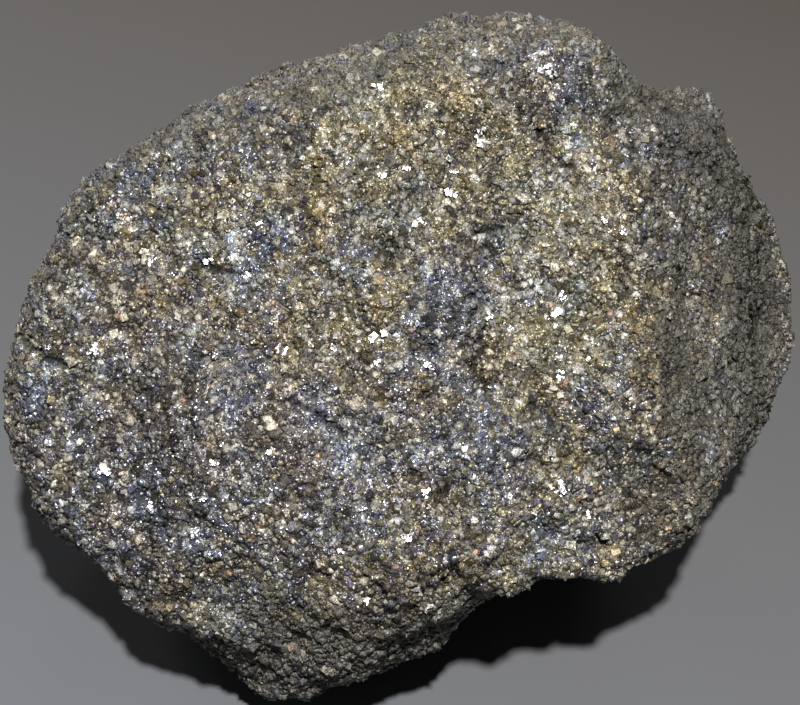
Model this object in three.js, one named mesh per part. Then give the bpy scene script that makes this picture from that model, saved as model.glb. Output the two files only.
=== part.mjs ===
// A lump of barite ore: one natural broken stone of fine-grained sulphides and barite, 82 mm across.
//
// Millimetres, +Z up. The lump lies on its flattest break, which is the plane z = 0, and the origin is
// there, under the middle of its bounding box. Its largest break, the main face, looks towards -Y and up.
//
// The lump is star-shaped: every point of its skin is seen from one point inside it, the core. So one
// function gives the distance from the core to the skin in any direction, and a sphere of triangles is
// pulled out to that distance.
//
// Directions are given as they look to somebody who faces the main face squarely: "clock" turns
// clockwise from the top of that view, and "lean" is the angle away from the line to the viewer, so lean
// 0 looks at the viewer, 90 is the edge of the view, and 180 looks straight away. A place on the front of
// the lump is given as [across, up] in the same view, measured from the core.

import * as THREE from "three";
import { ImprovedNoise } from "three/addons/math/ImprovedNoise.js";
import { mergeVertices } from "three/addons/utils/BufferGeometryUtils.js";

const MAIN_FACE_RISE = 52; // degrees above the horizon that the main face looks
const CORE_HEIGHT = 28; // core above the resting face
const SPHERE_DETAIL = 20; // the sphere has 20 * (detail + 1)^2 triangles

// The outline of the lump, seen square to the main face: [clock, distance from the core].
const OUTLINE = [
  [0, 33.6],
  [4, 36.8],
  [8, 36.2],
  [13, 35.2],
  [17, 37.4],
  [22, 37.9],
  [31, 40.2],
  [40, 38.8],
  [44, 39.6],
  [49, 42.8],
  [54, 43.2],
  [60, 42.2],
  [70, 45],
  [84, 48.4],
  [93, 43.9],
  [99, 41.4],
  [112, 38.1],
  [124, 37.8],
  [135, 36.2],
  [147, 29.4],
  [156, 27],
  [164, 27.5],
  [172, 31.6],
  [181, 33.8],
  [188, 37.4],
  [196, 39.2],
  [205, 38],
  [219, 35.9],
  [231, 37.9],
  [247, 40],
  [260, 39.9],
  [272, 39.2],
  [282, 37.2],
  [298, 37.3],
  [309, 35.1],
  [325, 32.8],
  [343, 32],
];

// How far the widest line round the lump lies behind the core, as [clock, depth].
const RIM_DEPTH = [
  [0, 2],
  [40, 8],
  [65, 16],
  [90, 17],
  [115, 8],
  [132, -6],
  [145, -13],
  [156, -12],
  [166, -2],
  [176, 5],
  [192, 3],
  [207, -3],
  [225, -8],
  [250, -6],
  [280, -2],
  [320, 0],
];
const RIM_TAPER_FRONT = 0.3; // how fast the lump narrows in front of that line
const RIM_TAPER_BACK = 0.25; // and behind it

// The breaks: near-flat faces left where the stone split. distance is from the core to the face's plane.
const BREAKS = [
  { name: "main face", clock: 20, lean: 3, distance: 21.5 },
  { name: "left shoulder", clock: 285, lean: 24, distance: 26 },
  { name: "lower left shoulder", clock: 232, lean: 32, distance: 28 },
  { name: "chin", clock: 196, lean: 50, distance: 30.6 },
  { name: "lower right bevel", clock: 135, lean: 36, distance: 28 },
  { name: "top bevel", clock: 350, lean: 46, distance: 30.5 },
  { name: "upper right bevel", clock: 45, lean: 40, distance: 32 },
  { name: "right flank", clock: 86, lean: 61, distance: 30.6 },
  { name: "undercut", clock: 154, lean: 98, distance: 27.6 },
  { name: "upper back", clock: 350, lean: 125, distance: 33 },
  { name: "left back", clock: 282, lean: 124, distance: 36 },
  { name: "right back", clock: 72, lean: 140, distance: 41 },
  { name: "lower right back", clock: 125, lean: 130, distance: 34.5 },
  { name: "back", clock: 20, lean: 168, distance: 28 },
];
const EDGE_ROUNDING = 3.2; // the edges between breaks are worn off over about this distance

// Broad swells and hollows on the front of the lump. half is its half-width [across, up], turn leans it
// clockwise in degrees, and height is how far it stands out.
const SWELLS = [
  { name: "trough right of the ledge", place: [13, 5], half: [5, 13], turn: 4, height: -1.9 },
  { name: "trough foot", place: [19, -6], half: [5, 8], turn: 10, height: -1.0 },
  { name: "top boss", place: [14, 26], half: [6, 6], turn: 0, height: 1.6 },
  { name: "rib along the ridge", place: [22, 6], half: [2.6, 16], turn: 0, height: 0.9 },
  { name: "groove beside the ridge", place: [28, 12], half: [2.6, 12], turn: -6, height: -1.5 },
  { name: "middle swell", place: [-2, 2], half: [8, 11], turn: 20, height: 0.8 },
  { name: "left hollow", place: [-18, 9], half: [6, 4], turn: 60, height: -0.8 },
  { name: "slanted furrow", place: [-7, -6], half: [2.2, 9], turn: -56, height: -1.0 },
  { name: "chin hollow", place: [-12, -22], half: [5, 4], turn: -40, height: -1.0 },
];

// Ledges: along the line from one place to another, the skin drops on the right-hand side by the height,
// and comes back to its level over the run.
const LEDGES = [
  { name: "long ledge", from: [7.4, -5], to: [7.6, 12], height: 2, run: 7 },
  { name: "boss foot", from: [12, 20], to: [19, 21], height: 1.2, run: 4 },
  { name: "upper left ledge", from: [-12, 23], to: [-7, 16], height: 1.0, run: 5 },
  { name: "left crack lip", from: [-35, 2], to: [-24, -3], height: 0.9, run: 5 },
  { name: "lower lip", from: [16, -20], to: [3, -24], height: 1.2, run: 5 },
];
const LEDGE_EDGE = 2.2; // how wide the drop itself is
const LEDGE_END = 2.5; // how fast a ledge dies out past its ends

// Bumps and dents anywhere on the lump.
const BUMPS = [
  { name: "knob", clock: 52, lean: 104, width: 4.5, height: 1.8 },
  { name: "saddle", clock: 42, lean: 88, width: 3.5, height: -2 },
  { name: "right notch", clock: 99, lean: 112, width: 4, height: -1.2 },
];

const CHIP_COUNT = 130; // small flat chips that break up the larger faces
const CHIP_DEPTH = 0.7; // the deepest that a chip is cut
const CHIP_TILT = 7; // degrees that a chip may lean from the surface that it is cut from
const CHIP_REACH = 15; // degrees from its middle where a chip has run out
const CHIP_FADE = 1.6; // how far a chip's cut has risen there

// Roughness of the broken stone: [size of the lumps, how high they stand].
const ROUGHNESS = [
  [17, 1.0],
  [7.5, 0.75],
  [3.6, 0.65],
  [2.2, 0.6],
];

const radians = THREE.MathUtils.degToRad;

// The view square to the main face, as three unit vectors.
const rise = radians(MAIN_FACE_RISE);
const viewRight = new THREE.Vector3(1, 0, 0);
const viewUp = new THREE.Vector3(0, Math.sin(rise), Math.cos(rise));
const viewOut = new THREE.Vector3(0, -Math.cos(rise), Math.sin(rise));

function direction({ clock, lean }) {
  const around = radians(clock);
  const away = radians(lean);
  return new THREE.Vector3()
    .addScaledVector(viewRight, Math.sin(around) * Math.sin(away))
    .addScaledVector(viewUp, Math.cos(around) * Math.sin(away))
    .addScaledVector(viewOut, Math.cos(away));
}

// A smooth closed curve through [clock, value] points, read at any clock angle.
function readRound(points, clock) {
  const count = points.length;
  const turned = ((clock % 360) + 360) % 360;
  let after = points.findIndex(([angle]) => angle > turned);
  if (after < 0) after = count;
  const at = (step) => points[(after + step + count) % count];
  const [startAngle, start] = at(-1);
  const [endAngle, end] = at(0);
  const gap = (endAngle - startAngle + 360) % 360;
  const t = ((turned - startAngle + 360) % 360) / gap;
  const slopeIn = (end - at(-2)[1]) / 2;
  const slopeOut = (at(1)[1] - start) / 2;
  return (
    (2 * t ** 3 - 3 * t ** 2 + 1) * start +
    (t ** 3 - 2 * t ** 2 + t) * slopeIn +
    (3 * t ** 2 - 2 * t ** 3) * end +
    (t ** 3 - t ** 2) * slopeOut
  );
}

// Distances along a ray to the two cones that meet in the widest line round the lump.
function rimDistances(ray) {
  const across = ray.dot(viewRight);
  const upward = ray.dot(viewUp);
  const outward = ray.dot(viewOut);
  const clock = THREE.MathUtils.radToDeg(Math.atan2(across, upward));
  const radius = readRound(OUTLINE, clock);
  const rimOut = -readRound(RIM_DEPTH, clock);
  return [RIM_TAPER_FRONT, -RIM_TAPER_BACK].map(
    (taper) => (radius + taper * rimOut) / (Math.hypot(across, upward) + taper * outward),
  );
}

const breakPlanes = BREAKS.map((face) => ({ normal: direction(face), distance: face.distance }));

// The lesser of two distances, with the corner between them rounded off.
function roundedLesser(one, other) {
  const near = Math.max(0, 1 - Math.abs(one - other) / EDGE_ROUNDING);
  return Math.min(one, other) - (near * near * EDGE_ROUNDING) / 4;
}

// Distance along a ray to the skin, before any of the smaller forms.
function largeForm(ray) {
  const toBreaks = breakPlanes.map(({ normal, distance }) => distance / normal.dot(ray));
  return [...rimDistances(ray), ...toBreaks]
    .filter((distance) => distance > 0)
    .reduce(roundedLesser);
}

// The outward normal of the large form, from three nearby points of it.
function largeFormNormal(ray) {
  const sideways = new THREE.Vector3(ray.y, ray.z, ray.x).cross(ray).normalize();
  const across = sideways.clone().cross(ray);
  const onSkin = (toward) => {
    const near = ray.clone().addScaledVector(toward, 0.02).normalize();
    return near.multiplyScalar(largeForm(near));
  };
  const middle = ray.clone().multiplyScalar(largeForm(ray));
  const normal = onSkin(sideways).sub(middle).cross(onSkin(across).sub(middle)).normalize();
  return normal.dot(ray) < 0 ? normal.negate() : normal;
}

// Repeatable random numbers from 0 to 1.
function randomNumbers(seed) {
  let state = seed;
  return () => {
    state = (state * 1664525 + 1013904223) % 4294967296;
    return state / 4294967296;
  };
}

// Chips are planes that each cut a little off the large form, spread evenly round it.
function chipPlanes() {
  const random = randomNumbers(7);
  const goldenAngle = Math.PI * (3 - Math.sqrt(5));
  return Array.from({ length: CHIP_COUNT }, (_, i) => {
    const height = 1 - (2 * (i + random())) / CHIP_COUNT;
    const turn = i * goldenAngle + random();
    const ring = Math.sqrt(1 - height * height);
    const ray = new THREE.Vector3(ring * Math.cos(turn), ring * Math.sin(turn), height);
    const point = ray.clone().multiplyScalar(largeForm(ray) - CHIP_DEPTH * random());
    const tilt = new THREE.Vector3(random() - 0.5, random() - 0.5, random() - 0.5);
    const normal = largeFormNormal(ray).addScaledVector(tilt, 2 * Math.tan(radians(CHIP_TILT)));
    normal.normalize();
    return { ray, normal, distance: normal.dot(point) };
  });
}

const chips = chipPlanes();
const chipReach = radians(CHIP_REACH);

function chipped(ray, distance) {
  return chips.reduce((least, chip) => {
    const away = chip.ray.angleTo(ray) / chipReach;
    if (away > 1.5) return least;
    const cut = chip.distance / chip.normal.dot(ray) + CHIP_FADE * away ** 4;
    return Math.min(least, cut);
  }, distance);
}

function bellCurve(t) {
  return Math.exp(-t * t);
}

function swellHeight(across, up) {
  return SWELLS.reduce((total, { place, half, turn, height }) => {
    const [x, y] = [across - place[0], up - place[1]];
    const [cos, sin] = [Math.cos(radians(turn)), Math.sin(radians(turn))];
    const away = Math.hypot((x * cos - y * sin) / half[0], (x * sin + y * cos) / half[1]);
    return total + height * bellCurve(away);
  }, 0);
}

function ledgeHeight(across, up) {
  return LEDGES.reduce((total, { from, to, height, run }) => {
    const [alongX, alongY] = [to[0] - from[0], to[1] - from[1]];
    const length = Math.hypot(alongX, alongY);
    const [x, y] = [across - from[0], up - from[1]];
    const along = (x * alongX + y * alongY) / length;
    const right = (x * alongY - y * alongX) / length;
    const past = Math.max(0, -along, along - length);
    const drop = THREE.MathUtils.smoothstep(right, -LEDGE_EDGE / 2, LEDGE_EDGE / 2);
    const comeback = Math.exp(-Math.max(0, right) / run);
    return total - height * drop * comeback * bellCurve(past / LEDGE_END);
  }, 0);
}

const bumps = BUMPS.map((bump) => ({ ...bump, ray: direction(bump) }));

function bumpHeight(ray, distance) {
  return bumps.reduce((total, bump) => {
    const away = (bump.ray.angleTo(ray) * distance) / bump.width;
    return total + bump.height * bellCurve(away);
  }, 0);
}

const noise = new ImprovedNoise();

function roughHeight(point) {
  return ROUGHNESS.reduce((total, [size, height], layer) => {
    const shift = 31.7 * (layer + 1);
    const grain = noise.noise(point.x / size + shift, point.y / size - shift, point.z / size + shift);
    return total + height * grain;
  }, 0);
}

function skinDistance(ray) {
  const large = largeForm(ray);
  let distance = chipped(ray, large) + bumpHeight(ray, large);
  const outward = ray.dot(viewOut);
  if (outward > 0) {
    const place = [ray.dot(viewRight) * distance, ray.dot(viewUp) * distance];
    distance += swellHeight(...place) + ledgeHeight(...place);
  }
  distance += roughHeight(ray.clone().multiplyScalar(distance));
  const toTable = ray.z < 0 ? CORE_HEIGHT / -ray.z : Infinity;
  return Math.min(distance, toTable);
}

function oreLump() {
  const sphere = new THREE.IcosahedronGeometry(1, SPHERE_DETAIL);
  sphere.deleteAttribute("normal");
  sphere.deleteAttribute("uv");
  const geometry = mergeVertices(sphere, 1e-5);
  const place = geometry.getAttribute("position");
  const ray = new THREE.Vector3();
  for (let i = 0; i < place.count; i += 1) {
    ray.fromBufferAttribute(place, i).normalize();
    const distance = skinDistance(ray);
    place.setXYZ(i, ray.x * distance, ray.y * distance, ray.z * distance + CORE_HEIGHT);
  }
  geometry.computeBoundingBox();
  const middle = geometry.boundingBox.getCenter(new THREE.Vector3());
  geometry.translate(-middle.x, -middle.y, 0);
  geometry.computeVertexNormals();
  const material = new THREE.MeshStandardMaterial({
    color: 0x6f6c5f,
    roughness: 0.45,
    metalness: 0.6,
    flatShading: true,
  });
  const mesh = new THREE.Mesh(geometry, material);
  mesh.name = "ore_lump";
  return mesh;
}

const part = new THREE.Group();
part.add(oreLump());

export default part;
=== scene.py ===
"""The finished look of a lump of barite ore: a rough broken stone packed with small shining crystals.

The lump's solid gives the form. It is rounded, roughened, pitted and cracked here, and then covered with
crystals of four minerals: brassy pyrite, blue-grey galena, dark sphalerite and pale barite. A few clean
crystals shine more than the rest. Each kind's crystals are one joined mesh. Sizes are in millimetres until
a mesh is made, in metres.
"""

import math

import bpy
import numpy as np
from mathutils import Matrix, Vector


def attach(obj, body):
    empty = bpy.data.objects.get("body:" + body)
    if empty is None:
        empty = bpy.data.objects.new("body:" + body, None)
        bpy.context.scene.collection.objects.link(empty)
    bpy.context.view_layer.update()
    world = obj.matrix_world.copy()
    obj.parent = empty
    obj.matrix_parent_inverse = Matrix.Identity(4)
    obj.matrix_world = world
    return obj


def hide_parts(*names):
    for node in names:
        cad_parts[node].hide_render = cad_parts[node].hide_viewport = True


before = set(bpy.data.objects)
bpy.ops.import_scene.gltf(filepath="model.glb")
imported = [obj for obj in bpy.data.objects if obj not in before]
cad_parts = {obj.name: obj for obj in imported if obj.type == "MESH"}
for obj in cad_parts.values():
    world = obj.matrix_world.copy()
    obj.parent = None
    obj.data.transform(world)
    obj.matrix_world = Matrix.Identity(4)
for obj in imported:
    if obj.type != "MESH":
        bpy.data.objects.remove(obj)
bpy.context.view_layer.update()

MM = 0.001
BODY = "root"
NODE = "ore_lump"

# The view square to the main face. A place on the front of the lump is given as (across, up) in it,
# measured from the core.
MAIN_FACE_RISE = math.radians(52)
CORE = np.array([-1.3, -2.4, 28.0])
VIEW_RIGHT = np.array([1.0, 0.0, 0.0])
VIEW_UP = np.array([0.0, math.sin(MAIN_FACE_RISE), math.cos(MAIN_FACE_RISE)])
VIEW_OUT = np.array([0.0, -math.cos(MAIN_FACE_RISE), math.sin(MAIN_FACE_RISE)])

CAMERA_DISTANCE = 245
CAMERA_LENS = 110
SENSOR_WIDTH = 36

# Round lights: (width, power in watts, colour). The main and fill lights stand this many degrees above and
# right of the camera, at this distance from the core. The other two have their place first.
KEY_PLACE = (20, 3, 900)
KEY = (42, 11.8, (1.0, 0.98, 0.96))
FILL_PLACE = (5, -40, 600)
SOFT_FILL = (400, 0.05, (0.96, 0.98, 1.0))
BACK_LIGHTS = {
    "back_left": ((-250, 520, 120), 160, 0.8, (1.0, 0.98, 0.95)),
    "back_right": ((120, 560, 120), 160, 0.55, (0.97, 0.98, 1.0)),
}
SKY_COLOUR = (0.95, 0.97, 1.0, 1)
SKY_STRENGTH = 0.03

# The paper that it lies on is coloured darker and warmer towards the back right: painted falloff of the
# light.
FLOOR_FRONT = (0.146, 0.154, 0.168, 1)
FLOOR_BACK = (0.06, 0.05, 0.041, 1)
FLOOR_FADE = ((0.35, 1.0, 0.0), -45, 105)  # direction, start and end
FLOOR_ROUGHNESS = 0.8
FLOOR_WIDTH = 4  # metres

# Large odd numbers that mix a cell of a lattice and a seed into 32 random bits, and shifts between them.
CELL_FACTORS = np.array([374761393, 668265263, 974634777])
SEED_FACTOR = 362437
MIXES = [(13, 1274126177), (16, 668265263)]
LAST_SHIFT = 15
ALL_BITS = 0xFFFFFFFF
SEED_STEP = 0.37  # cells by which one seed's lattice is shifted from the next
DOME_FALL = 1.4  # how fast a dome falls with the square of the distance in cells

# Each noise has seeds of its own, counted on from these.
CLUSTER_SEED = 10
CLUSTER_SEED_STEP = 5  # from one size of clusters to the next, as each uses three
CRACK_SEED = 40
PATCH_SEED = 50
ZONE_SEED = 70
STAIN_SEED = 80

# The stone under the crystals.
SUBDIVISIONS = 2
INSET = 0.1  # how far its grains' tops lie inside the solid
LUMPS = [(4.0, 0.24), (2.0, 0.18)]  # (size, height)
LUMPS_LOWERED = 0.3  # by this share of their height
CLUSTERS = [(1.9, 0.5), (0.95, 0.3)]  # rounded grains with narrow gaps between: (size, depth of the gaps)
PIT_COUNT = 240
PIT_RADIUS = (0.6, 1.3)
PIT_DEPTH = (0.1, 0.45)

# Cracks that show on the front, as lines of places.
CRACKS = [
    [(-18.8, 8.8), (-17.4, 8.0), (-15.6, 7.6)],
    [(-37.6, 1.9), (-33.8, -0.4), (-30.0, -1.7)],
    [(11.0, 22.4), (12.5, 21.4), (13.3, 20.2)],
    [(15.2, 17.8), (16.6, 16.8), (16.2, 15.4)],
    [(7.4, 11.2), (9.4, 11.4)],
    [(8.0, 2.4), (7.7, 0.2), (7.3, -1.8)],
    [(18.3, -17.5), (20.3, -18.7)],
    [(-10.5, -4.2), (-7.5, -5.6), (-5.0, -7.6)],
    [(4.9, -20.4), (5.9, -19.8), (7.3, -20.0)],
    [(2.3, -22.6), (3.8, -22.2), (5.2, -21.0)],
    [(-3.6, -20.8), (-2.6, -21.7), (-1.6, -22.7)],
]
CRACK_WIDTH = 0.24
CRACK_DEPTH = 0.7
CRACK_WOBBLE = (0.7, 0.35)  # size, amount
CRACK_DARKNESS = 0.7
CRACKED_FROM = -2  # how far in front of the core a point has to lie to be cracked

# Where the minerals lie on the front, and where they are dull, which adds roughness and mixes their colour
# toward a dark dust colour: (place, half-width (across, up), turned clockwise by, brassy, bluish, dark,
# pale, dull).
ZONES = [
    ((1, 20), (11, 9), 0, 1.7, -1.0, 0.0, 0.1, 0),  # upper middle
    ((13.5, 7), (5.6, 13), 0, 1.5, -0.9, -0.1, 0.5, 0),  # hollow
    ((-14, 15), (8, 6), 40, 0.3, 0.3, 0.0, 0.0, 0),  # upper left
    ((-9.5, 19), (1.6, 6), -50, -1.0, 1.2, 0.9, -0.5, 0),  # dark streak
    ((13.5, 26), (5, 4), 0, -0.8, 1.5, 0.0, 0.0, 0),  # top boss
    ((4.8, 3), (3, 8), 0, -0.9, 1.3, 0.4, 0.1, 0),  # left of the ledge
    ((-7, -7), (5, 4), 30, -0.9, 1.5, 0.8, -0.2, 0),  # violet patch
    ((-21, -10), (14, 12), 0, -0.9, 1.4, 0.5, 0.0, 0),  # lower left
    ((6, -13), (12, 6), 0, 0.0, 0.2, 0.0, 0.4, 0),  # lower middle
    # Painted shade: these five sides turn from the light, and their dark and dull values paint their shade.
    ((26, -8), (4, 13), 0, 1.2, -0.4, 0.8, 0.0, 0.35),  # right ridge
    ((34, 6), (8.5, 20), 0, -0.4, 0.2, 0.8, 0.1, 0.4),  # right flank
    ((36, 6), (2.8, 19), 0, 0.0, 0.0, 0.7, 0.0, 0.6),  # its far edge
    ((26, 24), (10, 5), 40, -0.1, 0.0, 0.9, -0.4, 0.5),  # saddle and knob
    ((-8, -29), (14, 6), 0, 0.4, 0.0, 1.2, -0.2, 0.7),  # chin
]
ZONE_WOBBLE = (4, 1.8)  # size and amount of the waves in the zones' edges
ZONED_FROM = -10  # how far in front of the core a point has to lie to be in a zone
# The sides that lean away from the main face, and so from the camera and the light, are dull and darker:
# painted shade, with more roughness. How much, the cosine of the lean from which it starts, and by how much
# that has to fall to make them fully dull.
SIDES_SHADE_AND_DULL = 0.85
SIDES_SHADE_AND_DULL_LEAN = 0.85
SIDES_SHADE_AND_DULL_FALL = 0.6
PATCHES = [(8.0, 0.8), (3.0, 1.2), (1.2, 0.8)]  # how the minerals gather everywhere: (size, strength)
STAINS = [(3.4, 1.0), (1.7, 1.0)]  # where the stone is warmer or cooler: (size, strength)
WARMER = np.array([0.08, 0.0, -0.12])  # what a full stain adds to each colour, as shares of it
SORTING = 1.3  # how strictly the minerals keep to their places
# Rows of the fields, after brassy, bluish and dark.
PALE = 3
DULL = 4

# Unit crystals: corners and triangles, wound to face outwards.
BLOCK = (
    [(x, y, z) for x in (-1, 1) for y in (-1, 1) for z in (-1, 1)],
    [(0, 1, 3), (0, 3, 2), (4, 6, 7), (4, 7, 5), (0, 4, 5), (0, 5, 1),
     (2, 3, 7), (2, 7, 6), (0, 2, 6), (0, 6, 4), (1, 5, 7), (1, 7, 3)],
)
OCTAHEDRON = (
    [(1.7, 0, 0), (-1.7, 0, 0), (0, 1.7, 0), (0, -1.7, 0), (0, 0, 1.7), (0, 0, -1.7)],
    [(0, 2, 4), (2, 1, 4), (1, 3, 4), (3, 0, 4), (2, 0, 5), (1, 2, 5), (3, 1, 5), (0, 3, 5)],
)
SHARD = (
    [(1.5, 0, 0.1), (-0.7, 1.3, 0), (-0.7, -1.3, -0.1), (0, 0, 1.6), (0.1, 0, -1.6)],
    [(0, 1, 3), (1, 2, 3), (2, 0, 3), (1, 0, 4), (2, 1, 4), (0, 2, 4)],
)
CHUNK = ([(x, 0.8 * y, z) for x, y, z in OCTAHEDRON[0]], OCTAHEDRON[1])
STRETCH = (0.7, 1.25)  # of each crystal along its own axes
UNEVEN = (0.75, 1.2)  # shares by which each corner comes nearer to the crystal's middle or goes farther
SIZES = [  # (shape, spacing of the crystals, least half-size, greatest half-size, how much more is pale)
    (SHARD, 0.54, 0.14, 0.28, 0.0),
    (OCTAHEDRON, 0.78, 0.17, 0.36, 0.0),
    (BLOCK, 1.05, 0.17, 0.38, -1.5),
    (CHUNK, 2.3, 0.26, 0.46, 1.2),
]
SMALLER_COMMONER = 1.5  # above 1, crystals near the least size are commoner than large ones
TRIES = 6  # random places tried in each square of the spacing
BARE_BELOW = 0.3  # the resting face has no crystals: points under this height
BARE_LEAN = -0.6  # that face down more than this
MOST_IN_A_PIECE = 195000  # triangles

# Each mineral: colours as (share, linear colour), and its finish as (metallic, roughness, sparkle).
MINERALS = {
    "pyrite": {
        "colours": [(0.5, (0.34, 0.305, 0.195)), (0.3, (0.47, 0.45, 0.36)), (0.2, (0.205, 0.167, 0.105))],
        "finish": (0.42, 0.39, 0.8),
    },
    "galena": {
        "colours": [(0.55, (0.338, 0.345, 0.365)), (0.25, (0.515, 0.53, 0.575)), (0.2, (0.23, 0.22, 0.30))],
        "finish": (0.7, 0.32, 0.9),
    },
    "sphalerite": {
        "colours": [(0.5, (0.085, 0.078, 0.066)), (0.3, (0.14, 0.125, 0.10)), (0.2, (0.06, 0.06, 0.066))],
        "finish": (0.0, 0.3, 0.7),
    },
    "barite": {
        "colours": [(0.48, (0.30, 0.28, 0.23)), (0.495, (0.50, 0.48, 0.42)), (0.025, (0.44, 0.28, 0.19))],
        "finish": (0.0, 0.4, 0.7),
    },
    "clean": {
        "colours": [(1.0, (0.72, 0.72, 0.71))],
        "finish": (0.8, 0.28, 0.3),
    },
}
FINE_GRAINS = (0.3, 0.42, 0.7)  # the finish of the stone between the crystals
CLEAN_SHARE = 0.004  # of the crystals everywhere are clean and bright
# Painted light: clean crystals are coloured lighter.
CLEAN_PAINTED_LIFT = 0.4  # they are as bright as if they stood out this much farther
# Painted shade: the stone between the crystals is coloured darker.
GAPS_PAINTED_DEEPER = 0.35  # the stone between the crystals is as dark as if it lay this much deeper
# Dull crystals are mixed toward this dark colour: dust, and painted shade on the sides turned from the
# light.
DUST_AND_SHADE_COLOUR = (0.12, 0.114, 0.097)
DUST_AND_SHADE_SHARE = 0.75  # of a fully dull crystal's colour
# Painted shade and light: what lies deep is coloured darker, and what stands out is coloured lighter.
SHADE_DEPTH = 0.25  # what lies this deep has the next line's shade, and what stands out more is lighter
SHADE = 1.05
SHADE_RISE = 0.8  # for each millimetre
SHADE_LIMITS = (0.3, 1.15)
SHADE_SPREAD = 0.3  # how much lighter or darker one crystal is than the next

# Clean crystals whose faces catch the main light on the front: (across, up, width).
GLINTS = [
    (14.7, 3.0, 1.3), (-28.2, -10.8, 1.3), (13.6, 26.4, 1.2), (-2.1, 25.0, 1.2), (14.9, -12.7, 1.2),
    (-2.4, 1.3, 1.1), (7.5, 19.7, 1.1), (4.7, 14.5, 1.0), (2.1, 12.3, 0.9), (2.3, -13.0, 0.8),
    (-18.3, 8.4, 0.8), (2.6, -1.1, 0.9), (14.8, -0.4, 0.8), (5.8, -8.6, 0.8), (-28.8, 0.3, 0.8),
    (-0.5, 1.4, 0.7), (-10.7, 0.1, 0.7), (-6.0, 0.5, 0.7), (1.1, 10.1, 0.7), (-23.9, -14.8, 0.7),
    (14.7, -1.9, 0.7), (0.6, 16.9, 0.7), (-1.6, 16.3, 0.7), (-2.2, -1.1, 0.7), (6.5, -11.6, 0.7),
    (-23.5, 8.9, 0.6), (8.2, 3.6, 0.6), (-14.1, 7.1, 0.7), (0.6, -16.8, 0.7), (4.9, 16.4, 0.6),
    (-12.1, -8.9, 0.6), (17.9, -15.0, 0.6), (-12.9, 11.5, 0.6), (14.9, 5.1, 0.6), (-3.1, -23.1, 0.7),
    (-18.4, -13.5, 0.6), (20.1, 11.1, 0.7), (18.8, 12.3, 0.6), (-17.2, -10.4, 0.6), (-5.3, -18.3, 0.6),
]
# A glint's blocks: their half-sizes, as shares of half its width, how far they are strewn, as a share of
# its width, how far they stand out of the stone, and how far they lean from the mirror's direction.
GLINT_SIZES = (0.52, 0.4, 0.34, 0.3, 0.26, 0.22, 0.18, 0.15)
GLINT_STREWN = 0.3
GLINT_RAISED = 0.3
GLINT_LEAN = 0.09
EMBED = 0.2  # how deep a crystal's middle lies in the stone, as a share of its half-size
CLEAR_OF_TABLE = 0.03  # crystals stop this far above the resting face
FACET_SCALE = 9000  # fine facets in a metre
FACET_SHADES = (0.1, 1.9)  # darkest and lightest, as shares of the crystal's colour
DULL_ROUGHER = 0.3  # what full dullness adds to the roughness

# Places in the UV squares: the half-width that a side of the stone fills, how far out the corners of its
# triangles can lie when its edge is at 1, and a crystal's triangle.
SIDE_HALF = 0.46
SIDE_PASSED = 1.08
CELL_TRIANGLE = np.array([(0.12, 0.12), (0.88, 0.12), (0.5, 0.88)])

random = np.random.default_rng(20)


# Noise and small sums

def hashed(cell, seed):
    """A random number from 0 to 1 for each cell of a lattice."""
    key = cell @ CELL_FACTORS + seed * SEED_FACTOR
    for shift, factor in MIXES:
        key = ((key ^ (key >> shift)) * factor) & ALL_BITS
    return (key ^ (key >> LAST_SHIFT)) / (ALL_BITS + 1)


def lattice_noise(points, size, seed):
    """Smooth noise from -1 to 1 at each point, with lumps of about this size."""
    at = points / size + SEED_STEP * seed
    cell = np.floor(at).astype(np.int64)
    part = at - cell
    part = part * part * (3 - 2 * part)
    total = np.zeros(len(points))
    for corner in np.ndindex(2, 2, 2):
        weight = np.where(corner, part, 1 - part).prod(axis=1)
        total += weight * (2 * hashed(cell + corner, seed) - 1)
    return total


def domes(points, size, seed):
    """Packed rounded grains of this size: 0 at each grain's top, falling to about -1 in the gaps."""
    at = points / size
    cell = np.floor(at).astype(np.int64)
    nearest = np.full(len(points), np.inf)
    for step in np.ndindex(3, 3, 3):
        there = cell + step - 1
        seeds = np.stack([hashed(there, seed + axis) for axis in range(3)], axis=1)
        nearest = np.minimum(nearest, ((there + seeds - at) ** 2).sum(axis=1))
    return -np.minimum(nearest * DOME_FALL, 1)


def on_front(points):
    """The (across, up) place of each point, and how far it lies in front of the core."""
    from_core = points - CORE
    return np.stack([from_core @ VIEW_RIGHT, from_core @ VIEW_UP], axis=1), from_core @ VIEW_OUT


def bell(distance):
    return np.exp(-distance**2)


# The stone

def merged_solid(node):
    """The node's corners in millimetres, each once, and its triangles."""
    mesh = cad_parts[node].data
    corners = np.zeros(len(mesh.vertices) * 3)
    mesh.vertices.foreach_get("co", corners)
    corners = (corners.reshape(-1, 3) / MM).round(3)
    mesh.calc_loop_triangles()
    faces = np.zeros(len(mesh.loop_triangles) * 3, int)
    mesh.loop_triangles.foreach_get("vertices", faces)
    points, merged = np.unique(corners, axis=0, return_inverse=True)
    return points, merged.ravel()[faces].reshape(-1, 3)


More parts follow.
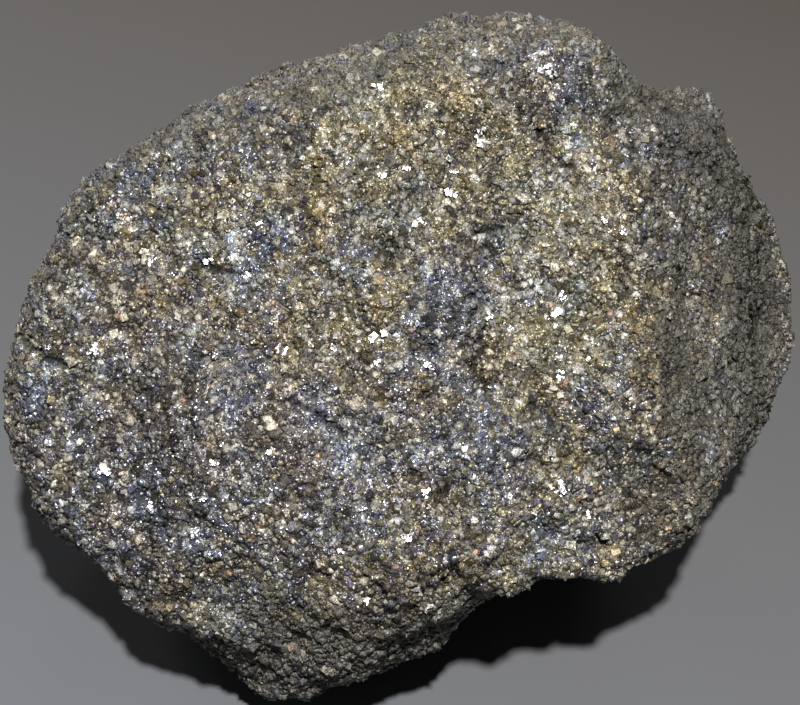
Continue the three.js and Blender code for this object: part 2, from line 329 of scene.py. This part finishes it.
def subdivided(points, faces):
    """One step of Loop subdivision, which makes four triangles of each and rounds the mesh."""
    sides = faces[:, [[0, 1], [1, 2], [2, 0]]].reshape(-1, 2)
    edges, edge_of = np.unique(np.sort(sides, axis=1), axis=0, return_inverse=True)
    edge_of = edge_of.ravel()
    facing = np.zeros((len(edges), 3))
    np.add.at(facing, edge_of, points[faces[:, [2, 0, 1]].ravel()])
    middles = 3 / 8 * points[edges].sum(axis=1) + facing / 8
    neighbours = np.zeros_like(points)
    np.add.at(neighbours, edges[:, 0], points[edges[:, 1]])
    np.add.at(neighbours, edges[:, 1], points[edges[:, 0]])
    count = np.bincount(edges.ravel(), minlength=len(points))[:, None]
    pull = 3 / (8 * count)
    moved = points * (1 - count * pull) + neighbours * pull
    a, b, c = faces.T
    ab, bc, ca = (edge_of.reshape(-1, 3) + len(points)).T
    parts = [(a, ab, ca), (ab, b, bc), (ca, bc, c), (ab, bc, ca)]
    return np.vstack([moved, middles]), np.vstack([np.stack(part, axis=1) for part in parts])


def face_normals(points, faces):
    """Each triangle's outward normal, as long as twice its area."""
    a, b, c = points[faces].transpose(1, 0, 2)
    return np.cross(b - a, c - a)


def point_normals(points, faces):
    normals = np.zeros_like(points)
    for corner in range(3):
        np.add.at(normals, faces[:, corner], face_normals(points, faces))
    return normals / np.linalg.norm(normals, axis=1, keepdims=True)


def distance_to_cracks(points):
    """Distance of each point to the nearest crack, and a very long way for points not on the front."""
    place, outward = on_front(points)
    nearest = np.full(len(points), np.inf)
    for crack in CRACKS:
        for start, end in zip(crack, crack[1:]):
            along = np.subtract(end, start)
            share = np.clip((place - start) @ along / (along @ along), 0, 1)
            nearest = np.minimum(nearest, np.linalg.norm(place - start - share[:, None] * along, axis=1))
    return np.where(outward > CRACKED_FROM, nearest, np.inf)


def pit_list(points):
    """Pits at random points, as (middle, radius, depth)."""
    middles = points[random.choice(len(points), PIT_COUNT, replace=False)]
    return list(zip(middles, random.uniform(*PIT_RADIUS, PIT_COUNT), random.uniform(*PIT_DEPTH, PIT_COUNT)))


def relief(points, pits):
    """How far the stone stands out from the solid's rounded skin at each point."""
    raised = np.full(len(points), -INSET)
    for seed, (size, height) in enumerate(LUMPS):
        raised += height * lattice_noise(points, size, seed) - LUMPS_LOWERED * height
    for seed, (size, depth) in enumerate(CLUSTERS):
        raised += depth * domes(points, size, CLUSTER_SEED + CLUSTER_SEED_STEP * seed)
    for middle, radius, depth in pits:
        raised -= depth * bell(np.linalg.norm(points - middle, axis=1) / radius)
    size, amount = CRACK_WOBBLE
    wobble = amount * lattice_noise(points, size, CRACK_SEED)
    raised -= CRACK_DEPTH * bell((distance_to_cracks(points) + wobble) / CRACK_WIDTH)
    return raised


# Minerals

def fields(points, normals):
    """How brassy, bluish, dark, pale and dull the stone is at each point, as rows; dull, and dark on some
    sides, is also painted shade.
    """
    place, outward = on_front(points)
    size, amount = ZONE_WOBBLE
    waves = [lattice_noise(points, size, ZONE_SEED + axis) for axis in range(2)]
    place = place + np.stack(waves, axis=1) * amount
    rows = np.zeros((DULL + 1, len(points)))
    for seed, (size, strength) in enumerate(PATCHES):
        for row in range(DULL):
            rows[row] += strength * lattice_noise(points, size, PATCH_SEED + DULL * seed + row)
    for middle, half, turn, *strengths in ZONES:
        cos, sin = math.cos(math.radians(turn)), math.sin(math.radians(turn))
        x, y = (place - middle).T
        away = np.hypot((x * cos - y * sin) / half[0], (x * sin + y * cos) / half[1])
        rows += np.array(strengths)[:, None] * bell(away**2) * (outward > ZONED_FROM)
    # Painted shade, with more roughness: sides leaning away from the main face, the camera and the light get
    # duller.
    rows[DULL] += SIDES_SHADE_AND_DULL * np.clip((SIDES_SHADE_AND_DULL_LEAN - normals @ VIEW_OUT) / SIDES_SHADE_AND_DULL_FALL, 0, 1)
    return rows


def pick_minerals(rows):
    """The number of one of the first four minerals for each point."""
    weights = np.exp(SORTING * rows[:DULL])
    edges = (weights / weights.sum(axis=0)).cumsum(axis=0)
    return (random.random(rows.shape[1]) > edges[:-1]).sum(axis=0)


def pick_colours(points, minerals, raised, dust_and_shade):
    """A colour for each crystal, of its mineral's palette: mixed toward dust and painted shade where it is
    dull, with painted shade where it lies deep and painted light where it stands out.

    The fourth number is how dull it is.
    """
    colours = np.zeros((len(minerals), 3))
    for number, mineral in enumerate(MINERALS.values()):
        here = minerals == number
        shares, palette = zip(*mineral["colours"])
        colours[here] = np.array(palette)[random.choice(len(shares), here.sum(), p=shares)]
    colours *= np.exp(SHADE_SPREAD * random.normal(size=(len(minerals), 1)))
    for seed, (size, strength) in enumerate(STAINS):
        colours *= 1 + strength * lattice_noise(points, size, STAIN_SEED + seed)[:, None] * WARMER
    # Dust and painted shade: dull crystals are mixed toward a dark colour.
    colours += DUST_AND_SHADE_SHARE * dust_and_shade[:, None] * (np.array(DUST_AND_SHADE_COLOUR) - colours)
    # Painted shade where it lies deep, and painted light where it stands out.
    colours *= np.clip(SHADE + SHADE_RISE * (raised + SHADE_DEPTH), *SHADE_LIMITS)[:, None]
    return np.column_stack([colours, dust_and_shade.clip(0, 1)])


def random_turns(count):
    """Random rotation matrices."""
    quaternion = random.normal(size=(4, count))
    w, x, y, z = quaternion / np.linalg.norm(quaternion, axis=0)
    return np.moveaxis(np.array([
        [1 - 2 * (y * y + z * z), 2 * (x * y - w * z), 2 * (x * z + w * y)],
        [2 * (x * y + w * z), 1 - 2 * (x * x + z * z), 2 * (y * z - w * x)],
        [2 * (x * z - w * y), 2 * (y * z + w * x), 1 - 2 * (x * x + y * y)],
    ]), 2, 0)


def turns_to(normals):
    """Rotation matrices that turn +Z to these normals, each with a spin of its own."""
    side = np.cross(normals, random.normal(size=normals.shape))
    side /= np.linalg.norm(side, axis=1, keepdims=True)
    return np.stack([side, np.cross(normals, side), normals], axis=2)


def spread_sites(points, faces, spacing):
    """Places all over the mesh, one in each small cube of space that it crosses, with their normals."""
    normals = point_normals(points, faces)
    area = np.linalg.norm(face_normals(points, faces), axis=1)
    owner = random.choice(len(faces), int(area.sum() / 2 / spacing**2 * TRIES), p=area / area.sum())
    shares = random.dirichlet((1, 1, 1), len(owner))
    places = (points[faces[owner]] * shares[..., None]).sum(axis=1)
    cubes = np.floor(places / spacing).astype(np.int64)
    kept = np.unique(cubes, axis=0, return_index=True)[1]
    places, owner, shares = places[kept], owner[kept], shares[kept]
    leaning = (normals[faces[owner]] * shares[..., None]).sum(axis=1)
    leaning /= np.linalg.norm(leaning, axis=1, keepdims=True)
    bare = (places[:, 2] < BARE_BELOW) & (leaning[:, 2] < BARE_LEAN)
    free = ~bare & (distance_to_cracks(places) > CRACK_WIDTH)
    return places[free], leaning[free]


def toward_glint(points):
    """The normals that mirror the main light to the camera, each leaning a few degrees at random."""
    to_camera = CORE + CAMERA_DISTANCE * VIEW_OUT - points
    to_key = from_view(*KEY_PLACE) - points
    half_way = to_camera / np.linalg.norm(to_camera, axis=1, keepdims=True)
    half_way += to_key / np.linalg.norm(to_key, axis=1, keepdims=True)
    half_way /= np.linalg.norm(half_way, axis=1, keepdims=True)
    half_way += GLINT_LEAN * random.normal(size=points.shape)
    return half_way / np.linalg.norm(half_way, axis=1, keepdims=True)


def crystals(shape, sites, normals, turns, half):
    """Crystals of one shape at the sites: their corners, one row of corners for each crystal."""
    corners = np.array(shape[0], float)
    count = len(sites)
    stretch = random.uniform(*STRETCH, (count, 1, 3))
    uneven = random.uniform(*UNEVEN, (count, len(corners), 1))
    turned = np.einsum("nij,nvj->nvi", turns, corners * stretch * uneven)
    middles = sites - normals * (EMBED * half)[:, None]
    points = middles[:, None, :] + turned * half[:, None, None]
    points[..., 2] = np.maximum(points[..., 2], CLEAR_OF_TABLE)
    return points


def glint_crystals(skin, faces, pits):
    """A few uneven blocks side by side for each glint, with their colours."""
    place, outward = on_front(skin)
    normals = point_normals(skin, faces)
    wanted = np.array(GLINTS)
    widths = np.repeat(wanted[:, 2], len(GLINT_SIZES))
    nearest = [np.where(outward > 0, np.hypot(*(place - spot).T), np.inf).argmin() for spot in wanted[:, :2]]
    nearest = np.repeat(nearest, len(GLINT_SIZES))
    sites, leaning = skin[nearest], normals[nearest]
    half = np.outer(wanted[:, 2] / 2, GLINT_SIZES).ravel()
    shift = random.normal(size=sites.shape) * widths[:, None] * GLINT_STREWN
    sites = sites + shift - leaning * (shift * leaning).sum(axis=1, keepdims=True)
    sites += (relief(sites, pits) + GLINT_RAISED)[:, None] * leaning
    blocks = crystals(BLOCK, sites, leaning, turns_to(toward_glint(sites)), half)
    bright = MINERALS["clean"]["colours"][0][1]
    return BLOCK, blocks, np.tile([*bright, 0], (len(sites), 1))


# Blender meshes and materials

def new_mesh(name, points, faces, colours, cells):
    """A mesh of triangles in metres, with a colour for each point and, in cells, a UV for each corner.

    A colour's fourth number is how dull the point is.
    """
    mesh = bpy.data.meshes.new(name)
    mesh.from_pydata((points * MM).tolist(), [], faces.tolist())
    attribute = mesh.color_attributes.new("mineral_colour", "FLOAT_COLOR", "POINT")
    attribute.data.foreach_set("color", colours.astype(np.float32).ravel())
    mesh.uv_layers.new(name="OFBake").data.foreach_set("uv", cells.astype(np.float32).ravel())
    piece = bpy.data.objects.new(name, mesh)
    bpy.context.scene.collection.objects.link(piece)
    return piece


def finish_piece(piece, material):
    piece.data.materials.append(material)
    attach(piece, BODY)


def vector_step(tree, operation, source):
    """A node that does this sum with vectors, of which the source is the first."""
    step = tree.nodes.new("ShaderNodeVectorMath")
    step.operation = operation
    tree.links.new(source, step.inputs[0])
    return step


def moved_range(tree, source, old=(0, 1), new=(0, 1)):
    """The source's value, moved from the old range to the new one."""
    step = tree.nodes.new("ShaderNodeMapRange")
    for name, value in zip(("From Min", "From Max", "To Min", "To Max"), (*old, *new)):
        step.inputs[name].default_value = value
    tree.links.new(source, step.inputs["Value"])
    return step.outputs["Result"]


def mineral_material(name, metallic, roughness, sparkle):
    """The mesh's own colours, broken into fine facets that each lean and shade their own way."""
    material = bpy.data.materials.new(name)
    material.use_nodes = True
    tree = material.node_tree
    shader = tree.nodes["Principled BSDF"]
    shader.inputs["Metallic"].default_value = metallic
    own = tree.nodes.new("ShaderNodeAttribute")
    own.attribute_name = "mineral_colour"
    dulled = moved_range(tree, own.outputs["Alpha"], new=(roughness, roughness + DULL_ROUGHER))
    tree.links.new(dulled, shader.inputs["Roughness"])

    place = tree.nodes.new("ShaderNodeTexCoord")
    facets = tree.nodes.new("ShaderNodeTexVoronoi")
    facets.inputs["Scale"].default_value = FACET_SCALE
    tree.links.new(place.outputs["Object"], facets.inputs["Vector"])
    shade = moved_range(tree, facets.outputs["Color"], new=FACET_SHADES)
    mottled = vector_step(tree, "SCALE", own.outputs["Color"])
    tree.links.new(shade, mottled.inputs["Scale"])
    tree.links.new(mottled.outputs["Vector"], shader.inputs["Base Color"])

    tilt = vector_step(tree, "SUBTRACT", facets.outputs["Color"])
    tilt.inputs[1].default_value = (0.5, 0.5, 0.5)  # the facets' numbers run from 0 to 1
    amount = vector_step(tree, "SCALE", tilt.outputs["Vector"])
    amount.inputs["Scale"].default_value = sparkle
    surface = tree.nodes.new("ShaderNodeNewGeometry")
    leaning = vector_step(tree, "ADD", surface.outputs["Normal"])
    tree.links.new(amount.outputs["Vector"], leaning.inputs[1])
    unit = vector_step(tree, "NORMALIZE", leaning.outputs["Vector"])
    tree.links.new(unit.outputs["Vector"], shader.inputs["Normal"])
    return material


def stone_cells(points, faces):
    """A UV for each corner of the stone: its six sides, seen from the core, as six squares."""
    corners = points[faces] - CORE
    middles = corners.mean(axis=1)
    side = np.abs(middles).argmax(axis=1)
    back = np.take_along_axis(middles, side[:, None], axis=1)[:, 0] < 0
    outward = side[:, None, None].repeat(3, axis=1)
    depth = np.abs(np.take_along_axis(corners, outward, axis=2))
    others = np.concatenate([(outward + 1) % 3, (outward + 2) % 3], axis=2)
    flat = np.take_along_axis(corners, others, axis=2) / depth
    square = 0.5 + SIDE_HALF * flat / SIDE_PASSED
    column, row = side[:, None], back[:, None].astype(int)
    return np.stack([(column + square[..., 0]) / 3, (row + square[..., 1]) / 2], axis=2).reshape(-1, 2)


def crystal_cells(owners, count):
    """A UV for each triangle's corners, in a square of its crystal's own."""
    grid = math.ceil(math.sqrt(count))
    corner = np.stack([owners % grid, owners // grid], axis=1)[:, None, :]
    return ((corner + CELL_TRIANGLE) / grid).reshape(-1, 2)


def dress_stone(points, faces, raised):
    """The stone itself, in the mixed colours of the fine grains between the crystals."""
    rows = fields(points, point_normals(points, faces))
    # Painted shade: the stone between the crystals is coloured as if it lay deeper.
    colours = pick_colours(points, pick_minerals(rows), raised - GAPS_PAINTED_DEEPER, rows[DULL])
    colours[:, :3] *= 1 - CRACK_DARKNESS * bell(distance_to_cracks(points) / CRACK_WIDTH)[:, None]
    stone = new_mesh("stone", points, faces, colours, stone_cells(points, faces))
    finish_piece(stone, mineral_material("fine_grains", *FINE_GRAINS))
    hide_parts(NODE)


def grown_crystals(skin, faces, pits):
    """All crystals, as lists of (shape, corners, colours) under their minerals' names."""
    groups = {name: [] for name in MINERALS}
    clean = list(MINERALS).index("clean")
    for shape, spacing, least, greatest, paler in SIZES:
        sites, normals = spread_sites(skin, faces, spacing)
        raised = relief(sites, pits)
        sites += raised[:, None] * normals
        rows = fields(sites, normals)
        rows[PALE] += paler
        minerals = pick_minerals(rows)
        minerals[random.random(len(sites)) < CLEAN_SHARE] = clean
        turns = random_turns(len(sites))
        # Painted light: clean crystals are coloured lighter.
        raised[minerals == clean] += CLEAN_PAINTED_LIFT
        colours = pick_colours(sites, minerals, raised, rows[DULL])
        half = least + (greatest - least) * random.random(len(sites)) ** SMALLER_COMMONER
        found = crystals(shape, sites, normals, turns, half)
        for number, name in enumerate(MINERALS):
            here = minerals == number
            groups[name].append((shape, found[here], colours[here]))
    groups["clean"].append(glint_crystals(skin, faces, pits))
    return groups


def joined_crystals(name, shapes):
    """One mesh of crystals of several shapes, thinned at random to the most that a piece may have."""
    total = sum(len(found) * len(shape[1]) for shape, found, _ in shapes)
    corners, triangles, owners, colours, rounded = [], [], [], [], []
    corner_count = crystal_count = 0
    for shape, found, own_colours in shapes:
        kept = random.random(len(found)) < MOST_IN_A_PIECE / total
        found, own_colours = found[kept], own_colours[kept]
        count = len(found)
        shape_faces = np.array(shape[1])
        first = corner_count + np.arange(count) * len(shape[0])
        triangles.append((first[:, None, None] + shape_faces).reshape(-1, 3))
        owners.append(np.repeat(crystal_count + np.arange(count), len(shape_faces)))
        rounded.append(np.full(count * len(shape_faces), shape is not BLOCK))
        corners.append(found.reshape(-1, 3))
        colours.append(np.repeat(own_colours, len(shape[0]), axis=0))
        corner_count += count * len(shape[0])
        crystal_count += count
    cells = crystal_cells(np.concatenate(owners), crystal_count)
    corners, triangles, colours = map(np.concatenate, (corners, triangles, colours))
    piece = new_mesh(name + "_crystals", corners, triangles, colours, cells)
    piece.data.polygons.foreach_set("use_smooth", np.concatenate(rounded))
    return piece


def dress_crystals(skin, faces, pits):
    """Each mineral's crystals, as one joined mesh."""
    for name, shapes in grown_crystals(skin, faces, pits).items():
        finish_piece(joined_crystals(name, shapes), mineral_material(name, *MINERALS[name]["finish"]))


# Studio

def point_at(thing, place, target):
    thing.location = Vector(place) * MM
    thing.rotation_euler = (Vector(target) - Vector(place)).to_track_quat("-Z", "Y").to_euler()


def area_light(name, place, size, power, colour):
    data = bpy.data.lights.new(name, "AREA")
    data.shape = "DISK"
    data.size = size * MM
    data.energy = power
    data.color = colour
    light = bpy.data.objects.new(name, data)
    light.visible_camera = False
    bpy.context.scene.collection.objects.link(light)
    point_at(light, place, CORE)


def from_view(lean_up, lean_right, distance):
    """A place at this distance from the core, these degrees above and right of the camera."""
    up, right = math.radians(lean_up), math.radians(lean_right)
    toward = VIEW_OUT * math.cos(up) + VIEW_UP * math.sin(up)
    toward = toward * math.cos(right) + VIEW_RIGHT * math.sin(right)
    return CORE + distance * toward


def floor_paint():
    """Paint that fades from the front colour to the back one: the light's falloff over the floor, painted.
    """
    paint = bpy.data.materials.new("floor_paint")
    paint.use_nodes = True
    tree = paint.node_tree
    shader = tree.nodes["Principled BSDF"]
    shader.inputs["Roughness"].default_value = FLOOR_ROUGHNESS
    place = tree.nodes.new("ShaderNodeTexCoord")
    direction, start, end = FLOOR_FADE
    along = vector_step(tree, "DOT_PRODUCT", place.outputs["Object"])
    along.inputs[1].default_value = direction
    fade = tree.nodes.new("ShaderNodeValToRGB")
    fade.color_ramp.elements[0].color = FLOOR_FRONT
    fade.color_ramp.elements[1].color = FLOOR_BACK
    tree.links.new(moved_range(tree, along.outputs["Value"], old=(start * MM, end * MM)), fade.inputs["Fac"])
    tree.links.new(fade.outputs["Color"], shader.inputs["Base Color"])
    return paint


def studio():
    """The camera, the lights, the faint sky and the floor."""
    scene = bpy.context.scene
    camera_data = bpy.data.cameras.new("camera")
    camera_data.lens = CAMERA_LENS
    camera_data.sensor_width = SENSOR_WIDTH
    camera = bpy.data.objects.new("camera", camera_data)
    scene.collection.objects.link(camera)
    point_at(camera, CORE + CAMERA_DISTANCE * VIEW_OUT, CORE)
    scene.camera = camera

    area_light("key", from_view(*KEY_PLACE), *KEY)
    area_light("soft_fill", from_view(*FILL_PLACE), *SOFT_FILL)
    for name, light in BACK_LIGHTS.items():
        area_light(name, *light)

    world = bpy.data.worlds.new("studio")
    world.use_nodes = True
    background = world.node_tree.nodes["Background"]
    background.inputs["Color"].default_value = SKY_COLOUR
    background.inputs["Strength"].default_value = SKY_STRENGTH
    scene.world = world

    bpy.ops.mesh.primitive_plane_add(size=FLOOR_WIDTH, location=(0, 0, 0))
    floor = bpy.context.object
    floor.name = "floor"
    floor.data.materials.append(floor_paint())
    scene.view_settings.view_transform = "Standard"


skin, skin_faces = merged_solid(NODE)
for _ in range(SUBDIVISIONS):
    skin, skin_faces = subdivided(skin, skin_faces)
pits = pit_list(skin)
raised = relief(skin, pits)
stone_points = skin + raised[:, None] * point_normals(skin, skin_faces)
stone_points[:, 2] = np.maximum(stone_points[:, 2], 0)
dress_stone(stone_points, skin_faces, raised)
dress_crystals(skin, skin_faces, pits)
studio()
